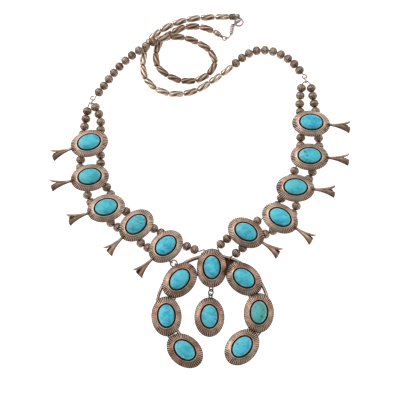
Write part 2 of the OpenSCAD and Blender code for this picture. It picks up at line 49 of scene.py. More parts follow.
# Shader helpers
class Signal:
    # A socket in a sum. Numbers, colours and vectors go in as they are.
    def __init__(self, net, socket):
        self.net, self.socket = net, socket

    def join(self, operation, other, swap=False):
        first, second = (other, self) if swap else (self, other)
        kind = "ShaderNodeVectorMath" if self.socket.type == "VECTOR" else "ShaderNodeMath"
        return self.net.add(kind, {"operation": operation}, {0: first, 1: second})

    def __add__(self, other):
        return self.join("ADD", other)

    def __sub__(self, other):
        return self.join("SUBTRACT", other)

    def __rsub__(self, other):
        return self.join("SUBTRACT", other, swap=True)

    def __mul__(self, other):
        return self.join("MULTIPLY", other)

    __radd__ = __add__
    __rmul__ = __mul__

    def step(self, low, high, start=0, end=1):
        # A smooth change from start to end as the signal goes from low to high
        sockets = {"Value": self, "From Min": low, "From Max": high, "To Min": start, "To Max": end}
        return self.net.add("ShaderNodeMapRange", {"interpolation_type": "SMOOTHSTEP"}, sockets)


class Net:
    # The nodes of one material, or of the world's light
    def __init__(self, owner):
        owner.use_nodes = True
        self.owner, self.tree = owner, owner.node_tree
        self.tree.nodes.clear()

    def add(self, kind, settings=None, sockets=None, out=0):
        node = self.tree.nodes.new(kind)
        for key, value in (settings or {}).items():
            setattr(node, key, value)
        for key, value in (sockets or {}).items():
            if isinstance(value, Signal):
                self.tree.links.new(value.socket, node.inputs[key])
            else:
                node.inputs[key].default_value = value
        return None if out is None else Signal(self, node.outputs[out])

    def mix(self, factor, first, second):
        return self.add("ShaderNodeMix", {"data_type": "RGBA"}, {0: factor, 6: first, 7: second}, out=2)

    def place(self):
        return self.add("ShaderNodeTexCoord", out="Object")

    def noise(self, spot, size, detail=3, roughness=0.5, distortion=0):
        # Size is that of the patches, in millimetres
        return self.add("ShaderNodeTexNoise", None,
                        {"Vector": spot, "Scale": 1 / (size * mm), "Detail": detail, "Roughness": roughness,
                         "Distortion": distortion})

    def value(self, name):
        # A value that the mesh carries for each of its points
        return self.add("ShaderNodeAttribute", {"attribute_name": name}, out="Fac")

    def bump(self, strength, distance, height):
        return self.add("ShaderNodeBump", None,
                        {"Strength": strength, "Distance": distance, "Height": height})

    def finish(self, **sockets):
        names = {"colour": "Base Color", "roughness": "Roughness", "metallic": "Metallic",
                 "normal": "Normal", "coat": "Coat Weight", "coatRoughness": "Coat Roughness",
                 "glow": "Emission Color", "glowStrength": "Emission Strength"}
        shader = self.add("ShaderNodeBsdfPrincipled", None, {names[k]: v for k, v in sockets.items()})
        self.add("ShaderNodeOutputMaterial", None, {"Surface": shader}, out=None)
        return self.owner


def srgb(*levels):
    # Red, green and blue as the eye sees them, 0 to 255, turned into the light that the shader wants
    return tuple(((v / 255 + 0.055) / 1.055) ** 2.4 if v > 10 else v / 3295 for v in levels) + (1,)


# Finishes. Silver goes from bright through worn to patina and soot as tarnish covers it, with a reddish
# blush and olive in places;
# the same tints also paint shade where the mesh asks for it. Patchy is how much its clouds of tarnish
# matter, grain the depth of its pits.
silverLooks = {
    "plateSilver": {"bright": (212, 189, 171), "worn": (167, 137, 119), "patina": (90, 63, 48),
                    "soot": (16, 20, 15), "blush": (170, 125, 106), "olive": (148, 129, 104),
                    "roughness": 0.46, "patchy": 0.65, "grain": 0.05},
    "beadSilver": {"bright": (194, 174, 156), "worn": (142, 118, 103), "patina": (80, 60, 50),
                   "soot": (30, 22, 18), "blush": (150, 112, 94), "olive": (138, 122, 98),
                   "roughness": 0.5, "patchy": 0.45, "grain": 0.04},
    "tubeSilver": {"bright": (227, 208, 189), "worn": (175, 150, 132), "patina": (100, 77, 64),
                   "soot": (30, 22, 18), "blush": (170, 136, 119), "olive": (162, 147, 121),
                   "roughness": 0.36, "patchy": 0.35, "grain": 0.03},
    "brightSilver": {"bright": (220, 212, 208), "worn": (172, 160, 156), "patina": (84, 76, 74),
                     "soot": (30, 28, 26), "blush": (182, 160, 154), "olive": (160, 156, 150),
                     "roughness": 0.3, "patchy": 0.3, "grain": 0.02},
    "wireSilver": {"bright": (150, 134, 120), "worn": (96, 80, 68), "patina": (50, 40, 34),
                   "soot": (20, 18, 16), "blush": (104, 84, 72), "olive": (100, 90, 72),
                   "roughness": 0.42, "patchy": 0.4, "grain": 0.04},
}
# What all silver shares: the sizes of its patches, and between what levels each tint comes in
silver = {"clouds": 5, "warmth": 9, "pits": 0.35, "scratches": 1.6, "relief": 0.35,
          "wornAt": (-0.05, 0.45), "patinaAt": (0.4, 1.05), "sootAt": (1.1, 1.9),
          "blushAt": (0.5, 0.66), "oliveAt": (0.36, 0.46), "dullAt": (0.6, 2)}


def silverFinish(name, look):
    net = Net(bpy.data.materials.new(name))
    spot = net.place()
    tint = {key: srgb(*look[key]) for key in ("bright", "worn", "patina", "soot", "blush", "olive")}
    tarnish = net.value("tarnish")      # 0 on ridges, 1 in grooves, 2 in the sooty pocket round a stone; painted shade adds to it on the flowers, the naja's strips and between settings
    browner = net.value("tone") - 0.5   # differs from bead to bead and from plate to plate
    clouds = net.noise(spot, silver["clouds"], detail=4, roughness=0.6)
    warmth = net.noise(spot, silver["warmth"], detail=2)
    pits = net.noise(spot, silver["pits"], detail=2)
    scratches = net.noise(spot * (1, 7, 1), silver["scratches"], detail=2)
    cover = (clouds - 0.42) * (look["patchy"] * 2) + tarnish * 0.9 + browner * 0.35
    worn = net.mix((warmth + browner * 0.2).step(*silver["blushAt"]), tint["worn"], tint["blush"])
    worn = net.mix(warmth.step(*silver["oliveAt"], 1, 0), worn, tint["olive"])
    colour = net.mix(cover.step(*silver["wornAt"]), tint["bright"], worn)
    colour = net.mix(cover.step(*silver["patinaAt"]), colour, tint["patina"])
    colour = net.mix(tarnish.step(*silver["sootAt"]), colour, tint["soot"])
    roughness = cover * 0.2 + (pits - 0.5) * 0.16 + look["roughness"]
    return net.finish(colour=colour, roughness=roughness.step(0.12, 0.9, 0.12, 0.9),
                      metallic=0.92 - tarnish.step(*silver["dullAt"]) * 0.8,
                      normal=net.bump(silver["relief"], look["grain"] * mm, pits + scratches * 0.8))


turquoise = {"body": (60, 200, 214), "deep": (30, 168, 198), "sky": (104, 200, 238),
             "green": (84, 162, 142), "vein": (104, 72, 40), "speck": (26, 52, 58), "rim": (176, 206, 204),
             "patches": 7, "streaks": 4.2, "flecks": 1.1, "grain": 0.03, "relief": 0.2,
             "bodyAt": (0.34, 0.6), "skyAt": (0.44, 0.74), "greenAt": (0.35, 0.7), "reflectionAt": (0.35, 0.6),
             "crackAt": (0.012, 0.05), "cracksPerMetre": 120, "warpsPerMetre": 260,
             "warp": 0.004}   # in metres


def turquoiseFinish():
    net = Net(bpy.data.materials.new("turquoiseStone"))
    spot = net.place()
    tint = {key: srgb(*turquoise[key]) for key in ("body", "deep", "sky", "green", "vein", "speck", "rim")}
    sky, green, veins, specks, rim = (
        net.value(name) for name in ("sky", "green", "veins", "specks", "rim"))
    patches = net.noise(spot, turquoise["patches"], detail=3, roughness=0.55, distortion=0.6)
    flecks = net.noise(spot, turquoise["flecks"], detail=3, roughness=0.6)
    streaks = net.noise(spot * (1, 1.7, 1), turquoise["streaks"], detail=3, roughness=0.55, distortion=1)
    lighter = (patches + streaks * 0.5 - 0.25).step(*turquoise["bodyAt"])
    colour = net.mix(lighter, tint["deep"], tint["body"])
    paler = (streaks + flecks * 0.2 - 0.1).step(*turquoise["skyAt"])
    colour = net.mix(paler * sky, colour, tint["sky"])
    colour = net.mix(green * (1 - patches.step(*turquoise["greenAt"]) * 0.6), colour, tint["green"])
    # Host rock shows as a few thin brown lines and dark specks on the stones that have them
    warp = net.add("ShaderNodeTexNoise", None,
                   {"Vector": spot, "Scale": turquoise["warpsPerMetre"], "Detail": 3}, out="Color")
    bent = net.add("ShaderNodeVectorMath", {"operation": "MULTIPLY_ADD"},
                   {0: warp, 1: (turquoise["warp"],) * 3, 2: spot})
    crack = net.add("ShaderNodeTexVoronoi", {"feature": "DISTANCE_TO_EDGE"},
                    {"Vector": bent, "Scale": turquoise["cracksPerMetre"]}, out="Distance")
    line = crack.step(*turquoise["crackAt"], 1, 0) * flecks.step(0.4, 0.6) * veins
    colour = net.mix(line, colour, tint["vein"])
    colour = net.mix(specks * flecks.step(0.25, 0.5, 0.6, 1), colour, tint["speck"])
    # Painted reflection: where the dome drops to its setting the edge is made pale
    colour = net.mix(rim * streaks.step(*turquoise["reflectionAt"], 0.35, 1), colour, tint["rim"])
    return net.finish(colour=colour, roughness=(flecks - 0.5) * 0.12 + 0.46, coat=0.08, coatRoughness=0.3,
                      normal=net.bump(turquoise["relief"], turquoise["grain"] * mm, flecks - line))


finishes = {name: silverFinish(name, look) for name, look in silverLooks.items()}
finishes["turquoise"] = turquoiseFinish()
print("finishes:", len(finishes))


# Mesh helpers
class Shape:
    # Grids of points gathered into one mesh, each point with the values that its finish reads
    def __init__(self):
        self.points, self.faces, self.values, self.count = [], [], [], 0

    def grid(self, points, tarnish=0, tone=0.5, around=True, along=False, caps=(False, False), **more):
        # Points is rows x columns x 3. Columns close when around is true, rows when along is true.
        rows, columns = points.shape[:2]
        index = self.count + np.arange(rows * columns).reshape(rows, columns)
        self.points.append(points.reshape(-1, 3))
        values = {"tarnish": tarnish, "tone": tone, **more}
        self.values.append({k: np.broadcast_to(v, (rows, columns)).reshape(-1) for k, v in values.items()})
        self.count += rows * columns
        lower = index if along else index[:-1]
        upper = np.roll(index, -1, axis=0) if along else index[1:]
        if around:
            a, b, c, d = lower, np.roll(lower, -1, 1), np.roll(upper, -1, 1), upper
        else:
            a, b, c, d = lower[:, :-1], lower[:, 1:], upper[:, 1:], upper[:, :-1]
        self.faces += np.stack([a, b, c, d], -1).reshape(-1, 4).tolist()
        if caps[0]:
            self.faces.append(index[0, ::-1].tolist())
        if caps[1]:
            self.faces.append(index[-1].tolist())

    def mesh(self, name, sharp, weld):
        mesh = bpy.data.meshes.new(name)
        mesh.from_pydata(np.concatenate(self.points).tolist(), [], self.faces)
        for key in sorted({k for v in self.values for k in v}):
            sheet = mesh.attributes.new(key, "FLOAT", "POINT")
            sheet.data.foreach_set("value", np.concatenate(
                [v.get(key, np.zeros(len(v["tarnish"]))) for v in self.values]).astype(np.float32))
        work = bmesh.new()
        work.from_mesh(mesh)
        if weld:
            bmesh.ops.remove_doubles(work, verts=work.verts, dist=1e-6)
        bmesh.ops.recalc_face_normals(work, faces=work.faces)
        work.to_mesh(mesh)
        work.free()
        mesh.shade_smooth()
        mesh.set_sharp_from_angle(angle=math.radians(sharp))
        return mesh


def addObject(name, data):
    thing = bpy.data.objects.new(name, data)
    bpy.context.scene.collection.objects.link(thing)
    return thing


def addPiece(node, shape, finish, sharp=50, weld=False):
    # The piece that is seen in the place of one CAD node
    name = node + "_looks"
    piece = addObject(name, shape.mesh(name, sharp, weld))
    piece.data.materials.append(finishes[finish])
    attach(piece, "root")
    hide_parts(node)


def cosSin(degrees):
    return math.cos(math.radians(degrees)), math.sin(math.radians(degrees))


class Place:
    # Where a thing sits: its middle and its own three directions
    def __init__(self, origin, x, y, z):
        self.origin, self.axes = np.array(origin, float), np.array([x, y, z], float)

    def put(self, points):
        return self.origin + points @ self.axes

    def moved(self, offset):
        return Place(self.put(np.array(offset)), *self.axes)

    def rolled(self, degrees):
        # Turned about its own x
        c, s = cosSin(degrees)
        x, y, z = self.axes
        return Place(self.origin, x, c * y + s * z, c * z - s * y)

    def drooped(self, degrees):
        # Turned about its own y, its far end down
        c, s = cosSin(degrees)
        x, y, z = self.axes
        return Place(self.origin, c * x - s * z, y, c * z + s * x)


def unit(vector):
    vector = np.array(vector, float)
    return vector / np.linalg.norm(vector)


def placeAlong(origin, direction, up=(0, 0, 1)):
    # The x axis along a direction, the z axis as far up as it goes
    x = unit(direction)
    y = unit(np.cross(up, x)) if abs(np.dot(x, up)) < 0.999 else np.array((0.0, 1.0, 0.0))
    return Place(origin, x, y, np.cross(x, y))


def lathe(profile, segments, turn=0):
    # A profile in millimetres, distance along x and radius first, turned about the x axis
    angles = np.arange(segments) * 2 * math.pi / segments + turn
    along, radius = np.array(profile, float)[:, :2].T * mm
    return np.stack([np.repeat(along[:, None], segments, 1), radius[:, None] * np.cos(angles),
                     radius[:, None] * np.sin(angles)], -1)


def columnsOf(table):
    # The columns of a profile, each as one column of numbers
    return (np.array(v)[:, None] for v in zip(*table))


def wave(count, waves):
    # Rises from 0 to 1 and falls again, so many times over the count of points
    return 0.5 - 0.5 * np.cos(np.arange(count) * 2 * math.pi * waves / count)


def solids(name):
    # For each separate solid of a CAD node: the middle of its surface, its three directions and its points
    grain, smallest = 2e-6, 1e-14   # points nearer than the grain are one, and slivers of faces don't count
    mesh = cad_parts[name].data
    mesh.calc_loop_triangles()
    points = np.empty(len(mesh.vertices) * 3, np.float32)
    mesh.vertices.foreach_get("co", points)
    triangles = np.empty(len(mesh.loop_triangles) * 3, np.int32)
    mesh.loop_triangles.foreach_get("vertices", triangles)
    steps = np.round(points.reshape(-1, 3) / grain).astype(int)
    points, same = np.unique(steps, axis=0, return_inverse=True)
    points, triangles = points * grain, same.reshape(-1)[triangles].reshape(-1, 3)
    # Each triangle hands its lowest label to its corners until nothing changes
    label = np.arange(len(points))
    while True:
        lowest = label[triangles].min(1)
        fresh = label.copy()
        for corner in range(3):
            np.minimum.at(fresh, triangles[:, corner], lowest)
        if (fresh == label).all():
            break
        label = fresh
    found = []
    for one in np.unique(label[triangles]):
        mine = triangles[label[triangles[:, 0]] == one]
        a, b, c = (points[mine[:, k]] for k in range(3))
        normal = np.cross(b - a, c - a)
        area = np.linalg.norm(normal, axis=1)
        keep = area > smallest
        normal, area, middle = normal[keep] / area[keep, None], area[keep], ((a + b + c) / 3)[keep]
        weights, directions = np.linalg.eigh((normal * area[:, None]).T @ normal)
        # The direction that stands apart from the other two comes first where two are alike
        lastAlike = weights[1] - weights[0] > weights[2] - weights[1]
        directions = directions.T if lastAlike else directions.T[::-1]
        found.append(((middle * area[:, None]).sum(0) / area.sum(), directions, points[np.unique(mine)]))
    return found


# Where the origin of the necklace's layout lies in the frame
layoutShift = np.array([-0.48, -9.28, 0])


def layout(x, y, z):
    return (np.array((x, y, z)) + layoutShift) * mm


# Settings: an oval plate with stamped flutes, a raised lip and a sooty pocket
plate = {
    "length": 24.6, "width": 18.4, "flangeFrom": 6.6, "flangeWide": 2.6,
    "seat": 1.84,         # height of the stone's foot over the rim's underside
    "najaGrow": 0.25,     # how much wider the flange is on the naja and the drop
    "flutes": 52, "fluteDepth": 0.42, "scallop": 0.1, "samples": 6,
    "blow": (0.7, 1.1),   # each flute is one blow of the stamp, some harder than others
    "grooveSoot": 2.3, "ridgeShine": 0.85,
    "stretches": 11, "rub": (-0.28, 0.22), "rubFrom": 6.5,   # some stretches of the rim are rubbed brighter
    "sootAndShadeReach": 1.3, "sootFrom": 7,   # soot, and painted contact shade, where another setting is soldered this close by
    "blossomTones": (0, 0.7), "najaTones": (0.7, 1.3), "dropTone": 0.95,
}
# Distance from the middle across the width, height, share of the flutes' depth at the oval's ends and at
# its sides, tarnish
plateProfile = [
    (3.8, 1.8, 0, 0, 2), (5.6, 1.8, 0, 0, 2), (5.8, 1.95, 0, 0, 2), (5.85, 2.5, 0, 0, 1.7),
    (5.95, 2.66, 0, 0, 0.5), (6.12, 2.7, 0, 0, -0.15), (6.35, 2.6, 0, 0, 0), (6.6, 2.32, 0, 0, 0.25),
    (6.85, 2.14, 0.4, 0, 0.15), (7.2, 1.97, 0.8, 0, 0.1), (7.6, 1.78, 1, 0.08, 0.1),
    (8.05, 1.46, 1, 0.18, 0.1), (8.5, 1.1, 1, 0.28, 0.1), (8.86, 0.84, 1, 0.36, 0.15),
    (9, 0.73, 0.9, 0.4, 0.6), (9.14, 0.56, 0.9, 0.4, 1), (9.2, 0.34, 0.5, 0.3, 1),
    (9.08, 0.03, 0.2, 0.2, 1.1), (8.4, 0, 0, 0, 1), (6.6, 0.9, 0, 0, 1),
]


def ovalAngles(stretch, count):
    # Angles that step evenly along the rim of an oval
    fine = np.linspace(0, 2 * math.pi, 2000)
    run = np.concatenate([[0], np.cumsum(np.hypot(stretch * np.diff(np.cos(fine)), np.diff(np.sin(fine))))])
    return np.interp(np.arange(count) * run[-1] / count, run, fine)


def addPlate(shape, place, tone, grow=0, near=()):
    stretch = plate["length"] / plate["width"]
    flutes, samples, stretches = plate["flutes"], plate["samples"], plate["stretches"]
    count = flutes * samples
    angles = ovalAngles(stretch, count)
    blows = np.repeat([chance.uniform(*plate["blow"]) for _ in range(flutes)], samples)
    groove = blows * (0.5 - 0.5 * np.cos(np.arange(count) * 2 * math.pi / samples))
    rubs = [chance.uniform(*plate["rub"]) for _ in range(stretches)]
    rubbed = np.interp(np.arange(count) * stretches / count, range(stretches + 1), rubs + rubs[:1])
    radius, height, atEnds, atSides, tarnish = columnsOf(plateProfile)
    share = atSides + (atEnds - atSides) * (np.cos(angles)[None] ** 2) ** 0.9
    flange = np.clip((radius - plate["flangeFrom"]) / plate["flangeWide"], 0, 1)
    radius = radius + grow * flange - share * groove * plate["scallop"]
    height = height - share * groove * plate["fluteDepth"] * (height > 0.1)   # its underside is plain
    points = place.put(np.stack([radius * np.cos(angles) * stretch, radius * np.sin(angles),
                                 np.broadcast_to(height, radius.shape)], -1) * mm)
    # Painted contact shade, with some soot, where another setting comes close
    nearSootAndShade = np.zeros(points.shape[:2])
    for other in near:
        local = (points - other.origin) @ other.axes.T / mm
        gap = np.hypot(local[..., 0] / stretch, local[..., 1]) - plate["width"] / 2 - grow
        nearSootAndShade = np.maximum(nearSootAndShade, np.clip(1 - gap / plate["sootAndShadeReach"], 0, 1))
    stamped = share * (groove * plate["grooveSoot"] - plate["ridgeShine"])
    tarnish = (tarnish + stamped + rubbed * (radius > plate["rubFrom"])
               + nearSootAndShade * (radius > plate["sootFrom"]))
    shape.grid(points, tarnish, tone, caps=(True, True))


def platePlace(node, middle=(0, 20)):
    # A stone's own solid says where its setting is: x along the oval and away from the middle of the neck,
    # or from another middle, z out of its face
    centre, directions, points = solids(node)[0]
    up = max(directions, key=lambda d: abs(d[2]))
    up = up if up[2] > 0 else -up
    along = max((d for d in directions if abs(d @ up) < 0.5), key=lambda d: np.ptp(points @ d))
    along = along if np.dot(along[:2], centre[:2] - np.array(middle) * mm) > 0 else -along
    foot = (points @ up).min()
    origin = centre + up * (foot - centre @ up - plate["seat"] * mm)
    return Place(origin, along, np.cross(up, along), up)


# Stones. The pale rim, a painted reflection, starts at a share of the radius. Uneven is how far the
# hand-cut outline comes in, twice round and three times round.
cabochon = {"length": 13.9, "width": 9.8, "girdle": 1.1, "height": 3.9, "rings": 13, "segments": 88,
            "uneven": (0.008, 0.006), "rimFrom": 0.82, "rimWide": 0.15, "paleReflection": 0.6, "speckDark": 0.85}
# How blue, how green and how much brown vein, for each stone from the shoulder down
stoneTones = {
    "left_stone": [(0.8, 0.15, 0), (0.6, 0.35, 0), (0.7, 0.2, 0), (0.7, 0.2, 1), (1, 0, 0)],
    "right_stone": [(1, 0, 0), (0.8, 0.1, 0.1), (0.6, 0.3, 0), (1, 0, 0), (0.7, 0.2, 0)],
    "naja_stone": [(1, 0.1, 0), (0.9, 0.1, 0), (0.7, 0.2, 0), (1, 0, 0), (0, 1, 0.3), (0.6, 0.2, 0),
                   (0.9, 0.1, 0)],
    "drop_stone": [(1, 0.2, 0)],
}
# Dark specks of host rock: across and up from a stone's middle as it is seen, and radius
stoneSpecks = {
    "left_stone_3": [(3.4, 0.9, 0.4)],
    "right_stone_2": [(-3.4, 2, 0.75), (-2.5, 1.2, 0.4), (-1.8, -0.5, 0.6)],
    "naja_stone_5": [(1.6, -3.2, 0.7), (-2.2, 2.8, 0.5), (2.6, 1.2, 0.4)],
    "naja_stone_7": [(-2.8, 1.1, 0.5)],
}


def addStone(node, place, tones):
    girdle, rise = cabochon["girdle"], cabochon["height"] - cabochon["girdle"]
    turn = np.linspace(0, math.pi / 2, cabochon["rings"])
    profile = [(0.985, 0), (1, 0.12), (1, girdle * 0.6)]
    profile += [(math.cos(t) ** 0.8, girdle + rise * math.sin(t) ** 0.95) for t in turn[:-1]]
    profile.append((0.02, cabochon["height"]))
    radius, height = columnsOf(profile)
    angles = np.arange(cabochon["segments"]) * 2 * math.pi / cabochon["segments"]
    first, second = chance.uniform(*anyTurn), chance.uniform(*anyTurn)
    twice, thrice = cabochon["uneven"]
    radius = radius * (1 - twice * (1 + np.cos(2 * angles + first)) * 0.5
                       - thrice * (1 + np.cos(3 * angles + second)) * 0.5)
    points = place.put(np.stack([radius * np.cos(angles) * cabochon["length"] / 2,
                                 radius * np.sin(angles) * cabochon["width"] / 2,
                                 np.broadcast_to(height + plate["seat"], radius.shape)], -1) * mm)
    # Painted reflection: the steep edge of the dome is made pale
    rim = np.clip((radius - cabochon["rimFrom"]) / cabochon["rimWide"], 0, 1) * cabochon["paleReflection"]
    specks = np.zeros(points.shape[:2])
    for across, up, size in stoneSpecks.get(node, ()):
        away = np.linalg.norm((points - place.origin)[..., :2] / mm - (across, up), axis=-1)
        specks = np.maximum(specks, np.clip(1.5 - away / size, 0, 1) * cabochon["speckDark"])
    shape = Shape()
    shape.grid(points, sky=tones[0], green=tones[1], veins=tones[2], specks=specks, rim=rim,
               caps=(True, True))
    addPiece(node, shape, "turquoise", sharp=60)


# Flowers: an open trumpet cut into three petals. Split is the share of the length where the petals part,
# and a petal's half angle goes from closed there to open at its end.
flower = {"length": 12.9, "mouth": 4.2, "stem": 0.85, "lip": 0.25, "flare": 1.75, "wall": 0.5, "split": 0.6,
          "petals": (0, 122, 238), "closedHalf": 60, "openHalf": 36, "cornerBack": 0.45, "curl": 0.05,
          "start": 12.1, "rise": 0.45, "root": 1.6, "droop": 7,
          "stemRows": 6, "throatRows": 3, "petalRows": 13, "columns": 10,
          # Tarnish outside, at the joint and on the lip and cut edges. Painted shade in the seams, on the
          # side away from the light, below, in the bed and in the throat;
          # lit is the painted light that takes that shade off again inside the mouth.
          "outside": 0.05, "seam": 1.1, "away": 0.75, "below": 0.5, "joint": 0.5, "bed": 1.6,
          "throat": 1.75, "lit": 1.25, "lipTarnish": 0.2, "cutTarnish": 0.35,
          "rolls": {"left": (0, 4, -3, 6, 2), "right": (3, -3, 0, -5, -2)}}


def addFlower(shape, place, roll):
    place = place.moved((flower["start"] * mm, 0, flower["rise"] * mm))
    place = place.drooped(flower["droop"]).rolled(roll)
    split, closed, lip = flower["split"], flower["closedHalf"], flower["lip"]
    petalRows = np.linspace(split, 1, flower["petalRows"] + 1)[1:]
    outer = np.concatenate([np.linspace(0, split, flower["stemRows"] + 1), petalRows])
    inner = np.concatenate([np.linspace(0.3, split, flower["throatRows"] + 1), petalRows])
    column = np.linspace(-1, 1, flower["columns"] + 1)

    def openness(u):
        # 0 as far as the petals hold together, 1 at their ends
        return np.clip((u - split) / (1 - split), 0, 1)[:, None]

    def anglesAt(u, centre):
        return np.radians(centre + column * (closed - (closed - flower["openHalf"]) * openness(u) ** 0.8))

    def radiusAt(u):
        rolledLip = np.clip((u - 0.9) / 0.1, 0, 1) ** 2 * lip
        return flower["stem"] + (flower["mouth"] - flower["stem"] - lip) * u ** flower["flare"] + rolledLip

    def surface(u, radius, centre):
        angle = anglesAt(u, centre)
        # The petal's end is nearly square, its corners a little back
        cornerBack = flower["cornerBack"] * openness(u) ** 3 * np.abs(column) ** 3
        curled = radius[:, None] * (1 + flower["curl"] * openness(u) * (np.abs(column) ** 2))
        return np.stack([u[:, None] * flower["length"] - cornerBack, curled * np.sin(angle),
                         -curled * np.cos(angle)], -1) * mm

    seam = flower["seam"] * np.abs(column) ** 5   # painted shade in the crease between two petals
    sunward = place.axes[1][1]
    for centre in flower["petals"]:
        outside = surface(outer, radiusAt(outer), centre)
        inside = surface(inner, np.maximum(radiusAt(inner) - flower["wall"], 0.2), centre)
        root = outside[:1].copy()
        root[..., 0] = -flower["root"] * mm
        tip = root.copy()
        tip[..., 1:] = 0
        bed = inside[:1].copy()
        bed[..., 1:] = 0
        # Painted shade underneath and on the side away from the light, and tarnish at the joint with the
        # plate
        facing, along = anglesAt(outer, centre), outer[:, None]
        shadeUnder = np.sin(facing) * -sunward * flower["away"] + np.cos(facing) * flower["below"]
        tarnish = (flower["outside"] + seam * np.clip((along - 0.1) / 0.3, 0, 1)
                   + np.clip(shadeUnder + 0.2, 0, 1) + flower["joint"] * np.clip(1 - along / 0.1, 0, 1))
        shape.grid(place.put(np.concatenate([tip, root, outside])), around=False,
                   tarnish=np.concatenate([np.full((2, len(column)), 1), tarnish]))
        # Inside, only the petal's half that faces the light is brighter, and not its very end
        lit = (np.clip(column * np.sign(sunward) * 1.1 - 0.1, 0, 1)
               * (1 - 0.6 * np.clip((openness(inner) - 0.75) * 4, 0, 1)))
        shape.grid(place.put(np.concatenate([bed, inside])), around=False,
                   tarnish=np.concatenate([np.full((1, len(column)), flower["bed"]), flower["throat"]
                                           - flower["lit"] * openness(inner) ** 1.2 * lit]))
        # Rim of the petal, and its two cut edges
        rim = np.stack([outside[-1], inside[-1]])
        shape.grid(place.put(rim), around=False, tarnish=flower["lipTarnish"])
        for side in (0, -1):
            cut = np.stack([outside[flower["stemRows"]:, side], inside[flower["throatRows"]:, side]])
            shape.grid(place.put(cut), around=False, tarnish=flower["cutTarnish"])


# Bails: a tube round the thread, and a strap that ends at top over the plate's foot. Its rows are shares of
# its way up, each with how far it spreads there.
bail = {"length": 2, "radius": 1.5, "bore": 0.95, "edge": 0.12, "sides": 32, "strap": 1, "top": 1.3,
        "corners": 16, "rows": ((0, 1.05), (0.25, 0.95), (0.7, 0.95), (1, 1.25))}


def addBail(shape, place, top):
    half, radius, bore, edge = bail["length"] / 2, bail["radius"], bail["bore"], bail["edge"]
    ring = [(-half, bore), (-half, radius - edge), (-half + edge, radius), (half - edge, radius),
            (half, radius - edge), (half, bore)]
    shape.grid(place.put(lathe(ring, bail["sides"])), 0.5, along=True)

    def squared(value):
        # Pushes a circle's points out towards the corners of a square
        return math.copysign(abs(value) ** 0.5, value)

    angles = (np.arange(bail["corners"]) + 0.5) * 2 * math.pi / bail["corners"]
    corners = np.array([(squared(math.cos(a)), squared(math.sin(a))) for a in angles])
    rise = (top - place.origin[2]) / mm
    rows = []
    for share, spread in bail["rows"]:
        height = bore + 0.08 + (rise - bore) * share
        rows.append(np.column_stack([corners[:, 0] * (half - 0.2) * spread,
                                     corners[:, 1] * bail["strap"] / 2 * spread,
                                     np.full(len(corners), height)]))
    shape.grid(place.put(np.array(rows) * mm), 0.6, caps=(True, True))


# Double strands as they are drawn through the bails: the first and the last point are the strand's ends,
# and at each point between them there is a bail
strandHeight = 3
doubleStrands = {
    "left_outer": [(-72.8, 61.8), (-76.5, 36.5), (-77, 13.5), (-66.5, -9), (-45.5, -23.4), (-26.5, -36.5),
                   (-21.2, -39.5)],
    "left_inner": [(-64.2, 54.2), (-64.2, 37.5), (-63.5, 14.5), (-52.5, -5), (-35.5, -15.5), (-16.5, -27.5),
                   (-0.6, -34.4)],
    "right_outer": [(72.1, 77.4), (76.3, 50), (76.8, 27.5), (66.5, 6.5), (56, -16.5), (34, -26.5),
                    (20.7, -37.25)],
    "right_inner": [(64.6, 66.6), (65.3, 50), (64.5, 28), (55.5, 6.5), (45.5, -10.5), (24, -20),
                    (10.8, -31.8)],
}


def bailPlaces(strand):
    points = [np.array((x, y, strandHeight)) + layoutShift for x, y in doubleStrands[strand]]
    return [placeAlong(points[i] * mm, unit(points[i] - points[i - 1]) + unit(points[i + 1] - points[i]))
            for i in range(1, len(points) - 1)]


# The ten blossoms
for side in ("left", "right"):
    bails = list(zip(bailPlaces(side + "_outer"), bailPlaces(side + "_inner")))
    for number in range(5):
        stone = f"{side}_stone_{number + 1}"
        place = platePlace(stone)
        shape = Shape()
        addPlate(shape, place, chance.uniform(*plate["blossomTones"]))
        addFlower(shape, place, flower["rolls"][side][number])
        for bailPlace in bails[number]:
            addBail(shape, bailPlace, place.put(np.array((0, 0, bail["top"] * mm)))[2])
        addPiece(f"{side}_blossom_{number + 1}", shape, "plateSilver", weld=True, sharp=45)
        addStone(stone, place, stoneTones[side + "_stone"][number])
print("blossoms: 10")


# Naja: two strips on edge, seven settings, and the loops that the strands, the ring and the drop hang on
naja = {"centre": (7.9, -72.2), "outer": 35.3, "inner": 25.3, "thick": 1.8, "sweep": 294, "segments": 180,
        "closeFrom": 70, "closeRadius": 27,   # where the outer strip starts to close in, its radius there
        "middle": (7.4, -81),                 # the settings' ovals point away from here
        "loopAngles": (85.8, 98.3, 128.1), "loop": 1.4, "loopOut": 0.57, "wire": 0.4,
        "hanger": (7, -58.35, 2.55), "hangerLoop": 1.55, "hangerTilt": 45,
        # Solder and soot in the corner by the right outer strand's end, made dark enough to stand in for
        # the shade there too: its corners, and heights of its foot, its shoulder and its top
        "solderAndShade": ((12.8, -38.1), (17.2, -38.9), (21.6, -40.6), (17.7, -47.4), (16, -45.5)),
        "solderAndShadeHeights": (0.2, 1.2, 1.5)}
# Half of a strip's section, from the middle of its top to its foot: out from the middle, height, tarnish.
# The dark tarnish on its walls is painted shade.
stripSection = [(0, 3.3, -0.1), (0.25, 3.27, 0), (0.45, 3.08, 0.7), (0.75, 2.8, 1), (0.88, 2.62, 1.1),
                (0.9, 0.2, 1.3), (0.72, 0, 1.3)]


def addRing(shape, centre, normal, radius, wire, tarnish, segments=40, sides=12):
    # A torus, in metres: every section is turned about the same normal, so that it closes evenly
    normal = unit(normal)
    x = unit(np.cross(normal, (0, 1, 0.1)))
    y = np.cross(normal, x)
    turn = np.arange(segments) * 2 * math.pi / segments
    roll = np.arange(sides) * 2 * math.pi / sides
    out = np.cos(turn)[:, None] * x + np.sin(turn)[:, None] * y
    rows = (centre + out[:, None] * (radius + wire * np.cos(roll))[None, :, None]
            + normal * (wire * np.sin(roll))[None, :, None])
    shape.grid(rows, tarnish, along=True)


def leaning(degrees):
    # The normal of a ring that leans to one side
    c, s = cosSin(degrees)
    return (s, 0, c)


